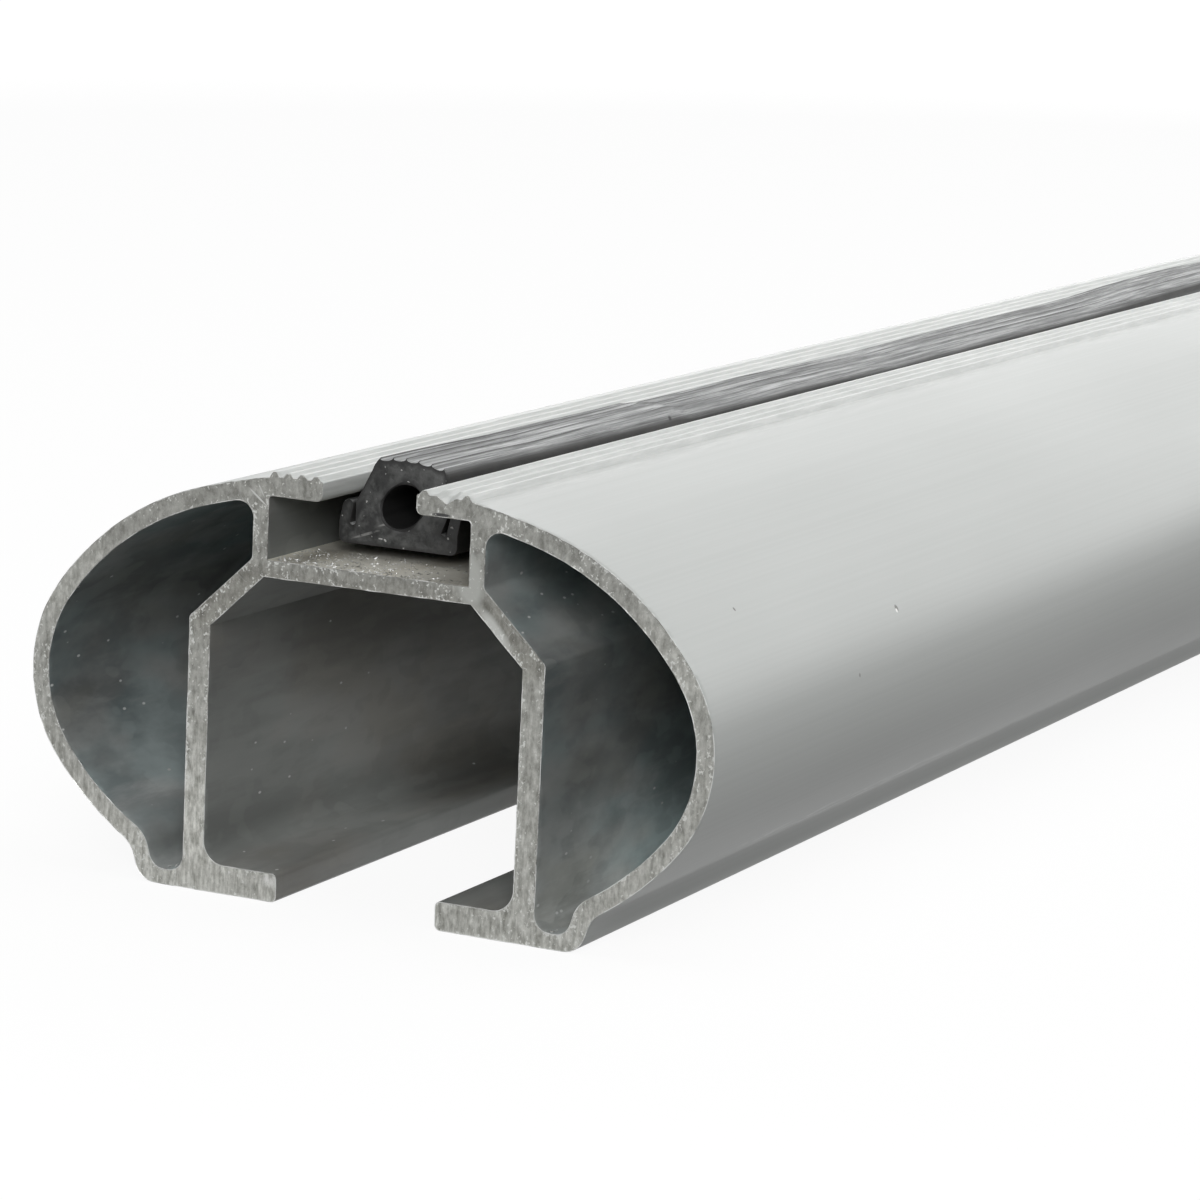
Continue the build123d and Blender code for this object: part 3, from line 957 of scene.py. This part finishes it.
def dull_aluminium(
    name, dark, light, scuffed, seed, teal, shade,
    specks=1, cloud=(120, 50, 120), scuff=(300, 45, 300), painted_light_share=1, places=(),
):
    """Inside walls: dull and clouded from dark to light, with scuffs drawn along the bar and swarf specks.

    The walls carry painted light and shade: darker near the cut and lighter deeper in, and lighter or darker
    by height, in the measure of the share given for it. shade gives what is left of the tone at the feet, on
    the low, middle and sloping walls and under the crown, as painted shade. teal gives the share of cooler
    patches, specks the share of swarf. cloud and scuff are the scales of the clouds and of the scuffs.
    places lists soft places that are darker or lighter by a factor: (centre, size, factor), sizes in mm.
    """
    f = Finish(name)
    clouds = f.noise(cloud, detail=5, rough=0.6, seed=seed)
    tint = f.noise((70, 30, 70), detail=3, seed=seed + 1)
    scuffs = f.noise(scuff, detail=5, rough=0.7, seed=seed + 2)
    clusters = f.noise((60, 40, 60), detail=2, seed=seed + 4)
    blots = f.noise((210, 110, 210), detail=2, rough=0.5, seed=seed + 6)
    depth = f.maths("MULTIPLY", f.maths("SUBTRACT", f.part(f.place(), 1), near_end), 10.0)
    tone = f.ramp(clouds, [(0.38, dark), (0.62, light)])
    tone = f.mix(f.ramp(blots, [(0.55, 0), (0.57, 0.3), (0.7, 0.45)]), tone, light)
    tone = f.mix(f.ramp(blots, [(0.38, 0.35), (0.43, 0.25), (0.45, 0)]), tone, dark)
    tone = f.mix(f.ramp(tint, [(0.46, 0), (0.54, teal)]), tone, (0.89, 0.98, 1), how="MULTIPLY")
    tone = f.mix(f.ramp(tint, [(0.38, 1), (0.44, 0)]), tone, (0.97, 0.95, 0.92), how="MULTIPLY")
    tone = f.mix(f.ramp(scuffs, [(0.55, 0), (0.8, 0.6)]), tone, scuffed)
    stops = list(zip((0.12, 0.3, 0.5, 0.67, 0.8), shade))
    # Painted light and shade: the tone is scaled by height and lightened deeper in from the cut, by the share
    # given for it
    tone = f.mix(painted_light_share, tone, f.ramp(f.height(), stops), how="MULTIPLY")
    tone = f.mix(painted_light_share, tone, f.ramp(depth, [(0, 0.7), (0.6, 1)]), how="MULTIPLY")
    for centre, size, factor in places:
        tone = f.mix(f.spot(centre, size, soft=0.9), tone, factor, how="MULTIPLY")
    near_cut = f.ramp(depth, [(0.1, specks), (0.6, 0.3 * specks)])
    share = f.maths("MULTIPLY", f.ramp(clusters, [(0.35, 0.05), (0.62, 0.8)]), near_cut)
    tone = f.mix(f.dots((620, 300, 620), 0.075, share, seed + 3), tone, (0.75, 0.76, 0.75))
    return f.made({
        "Base Color": tone, "Roughness": 0.55, "Metallic": 0.1, "Normal": f.bump(scuffs, 0.02 * MM, 0.5),
    })


def insides():
    """Dull finishes of the side chambers, of the channel and of the slot's floor."""
    # Painted light and shade in the chambers: lighter at the feet, darker up the walls, and two darker
    # places, low in the left groove near the cut and in the right chamber's top corner
    chamber = dull_aluminium(
        "chamber_aluminium", (0.42, 0.445, 0.44), (0.78, 0.81, 0.79), (0.85, 0.87, 0.86), seed=3, teal=1,
        shade=(1.28, 0.76, 0.52, 0.75, 0.95),
        places=[((-25.5, 6, 3), (4, 16, 5), 0.5), ((18, 10, 36), (9, 24, 6), 0.55)],
    )
    # Painted shade in the channel: darker towards the roof, and a darker place low on the left wall deep in
    # from the cut
    channel = dull_aluminium(
        "channel_aluminium", (0.43, 0.435, 0.415), (0.61, 0.615, 0.585), (0.36, 0.36, 0.34), seed=21,
        teal=0.35, shade=(0.85, 0.9, 0.72, 0.62, 0.66), specks=0.3, cloud=(150, 20, 150),
        places=[((-14, 56, 3.4), (8, 26, 5), 0.6)],
    )
    slot = dull_aluminium(
        "slot_aluminium", (0.42, 0.405, 0.355), (0.64, 0.625, 0.56), (0.78, 0.77, 0.71), seed=33, teal=0,
        shade=(1,) * 5, scuff=(90, 800, 90), painted_light_share=0, places=[((-11.75, 6, 35.9), (2.5, 16, 2.2), 2.0)],
    )
    return chamber, channel, slot


def rubber():
    """The strip's extruded skin: dull grey-black, with dusty lines along it and two nicks in its crown,
    painted as near-black spots whose darkness is painted shade.
    """
    f = Finish("strip_rubber")
    lines = f.noise((1900, 32, 1900), detail=5, rough=0.75, seed=7)
    dust = f.noise((260, 60, 260), detail=4, rough=0.65, seed=13)
    upward = f.part(f.place("Normal"), 2)
    streaks = f.ramp(lines, [(0.38, 0.07), (0.5, (0.3, 0.307, 0.307)), (0.62, (0.74, 0.75, 0.75))])
    dusty = f.ramp(dust, [(0.35, (0.25, 0.257, 0.256)), (0.7, (0.46, 0.47, 0.47))])
    dusty = f.mix(0.65, dusty, streaks)
    clean = f.ramp(dust, [(0.35, (0.03, 0.03, 0.029)), (0.75, (0.085, 0.083, 0.08))])
    tone = f.mix(f.ramp(upward, [(0.25, 0), (0.6, 1)]), clean, dusty)
    # Two nicks in the crown as near-black spots: the nicks are real, their darkness is painted shade
    tone = f.painted(tone, [
        (0.02, (-2.8, 70.1, 45.8), (0.8, 0.9, 0.8)),
        (0.02, (3.9, 63.3, 45.7), (0.4, 0.7, 0.5)),
    ])
    return f.made({
        "Base Color": tone, "Roughness": 0.55, "Specular IOR Level": 0.2,
        "Normal": f.bump(lines, 0.02 * MM, 0.6),
    })


def cut_rubber():
    """The strip's cut end: nearly black, torn, with specks, two lighter slanting lines, a broken painted
    highlight round the bore, and painted shade right of the bore and in the left fin's groove.
    """
    f = Finish("cut_rubber")
    tears = f.noise((900, 900, 900), detail=5, rough=0.7, seed=14)
    smears = f.noise((300, 300, 300), detail=3, seed=15)
    specks = f.noise((1900, 1900, 1900), detail=1, seed=16)
    tone = f.ramp(tears, [(0.4, (0.01, 0.0105, 0.0105)), (0.66, (0.085, 0.087, 0.085))])
    tone = f.mix(f.ramp(smears, [(0.46, 0), (0.62, 0.5)]), tone, (0.13, 0.132, 0.13))
    tone = f.mix(f.ramp(smears, [(0.36, 0.8), (0.46, 0)]), tone, (0.012, 0.0125, 0.0125))
    # Painted shade: a near-black place right of the bore by the base, and a near-black slant in the left
    # fin's groove
    tone = f.painted(tone, [
        (0.012, (6.3, 8.2, 38.5), (2.2, 3, 3.2), 0, 0.8),
        (0.008, (-5.6, 8.2, 41.2), (0.5, 3, 1.9), 25, 0.6),
    ])
    tone = f.mix(f.ramp(f.rim(), [(0.12, 0.85), (0.5, 0)]), tone, 0.01)
    # Painted highlight: a broken lighter ring round the rim of the bore on the cut
    wide, narrow = (f.spot((-0.5, 8.2, 41.95), (size, 9, size)) for size in (3.05, 2.75))
    bore_rim_highlight = f.maths("SUBTRACT", wide, narrow)
    bore_rim_highlight = f.maths("MULTIPLY", bore_rim_highlight, f.ramp(smears, [(0.46, 0), (0.54, 0.8)]))
    tone = f.mix(bore_rim_highlight, tone, (0.2, 0.203, 0.2))
    # Two lighter slanting lines low on the cut, left of the bore
    slanting_lines = f.ramp(tears, [(0.4, 0.1), (0.5, 0.9)])
    for place, size in (((-4.6, 8.2, 38.7), (1.9, 3, 0.16)), ((-2.5, 8.2, 39.95), (0.9, 3, 0.13))):
        tone = f.mix(f.maths("MULTIPLY", slanting_lines, f.spot(place, size, turn=-20)), tone, (0.24, 0.24, 0.235))
    tone = f.mix(f.ramp(specks, [(0.71, 0), (0.75, 0.9)]), tone, (0.55, 0.55, 0.54))
    return f.made({"Base Color": tone, "Roughness": 0.5, "Normal": f.bump(tears, 0.08 * MM, 0.8)})


def bore_rubber():
    """Inside of the strip's bore: clean black, faintly lined along."""
    f = Finish("bore_rubber")
    lines = f.noise((700, 20, 700), detail=2, seed=18)
    tone = f.ramp(lines, [(0.3, 0.008), (0.7, 0.03)])
    return f.made({"Base Color": tone, "Roughness": 0.5, "Specular IOR Level": 0.25})


def floor():
    """Plain pale floor, a square at the height of the feet, seen as white but for the bar's shadow."""
    corners = floor_half * np.array([(-1, -1, 0), (1, -1, 0), (1, 1, 0), (-1, 1, 0)])
    mesh = bpy.data.meshes.new("floor")
    mesh.from_pydata(corners.tolist(), [], [(0, 1, 2, 3)])
    f = Finish("floor_paint")
    glow = f.ramp(f.maths("DIVIDE", f.length(f.place()), floor_half), [(0.07, 0.92), (0.11, 1)])
    mesh.materials.append(f.made({
        "Base Color": colour(0.1), "Roughness": 0.9, "Specular IOR Level": 0,
        "Emission Color": colour(1), "Emission Strength": f.maths("MULTIPLY", f.seen(), glow),
    }))
    made = added("floor", mesh)


def softbox(name, place, size, power):
    """Soft rectangular lamp at a place, turned to face the lamps' target."""
    lamp = bpy.data.lights.new(name, "AREA")
    lamp.shape = "RECTANGLE"
    lamp.size, lamp.size_y = size
    lamp.energy = power
    made = added(name, lamp)
    made.location = place
    made.rotation_euler = (Vector(lamp_target) - Vector(place)).to_track_quat("-Z", "Y").to_euler()
    made.visible_camera = False


def studio():
    """Softboxes over, behind and in front of the bar, in a surrounding that is seen as white."""
    softbox("softbox_top", (0.4, near_end + 0.3, 1.5), (1, 2.4), 12)
    softbox("softbox_back", (0, near_end + 3.4, 0.95), (4.6, 1.6), 50)
    softbox("softbox_front", (0.6, near_end - 1.35, 0.8), (0.8, 0.8), 15)
    f = Finish("studio", "worlds")
    level = f.put(f.node("ShaderNodeMapRange"), {"Value": f.seen(), "To Min": surrounding, "To Max": 1})
    f.put(f.nodes["Background"], {"Color": colour(1), "Strength": level.outputs[0]})
    bpy.context.scene.world = f.owner


def camera():
    """Camera at the photograph's place and angle."""
    made = added("camera", bpy.data.cameras.new("camera"))
    made.data.lens = camera_lens
    made.data.sensor_width = camera_sensor
    made.data.clip_start = camera_clip
    forward = Vector(camera_forward).normalized()
    right = forward.cross(Vector(camera_up)).normalized()
    up = right.cross(forward)
    turn = Matrix((right, up, -forward)).transposed().to_4x4()
    made.matrix_world = Matrix.Translation(camera_place) @ turn
    bpy.context.scene.camera = made


def main():
    """Makes every piece and puts it on the frame."""
    camera()
    studio()
    floor()

    metals = [drawn_aluminium(), sawn_aluminium(), burr_aluminium(), *insides()]
    extrusion = bar().piece("crossbar_extrusion", metals)
    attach(extrusion, "root")
    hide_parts("bar_extrusion")

    infill = strip().piece("infill_strip", [rubber(), cut_rubber(), bore_rubber()])
    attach(infill, "root")
    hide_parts("slot_strip")

    flakes = swarf()
    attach(flakes, "root")

    bpy.context.scene.view_settings.view_transform = "Standard"


main()
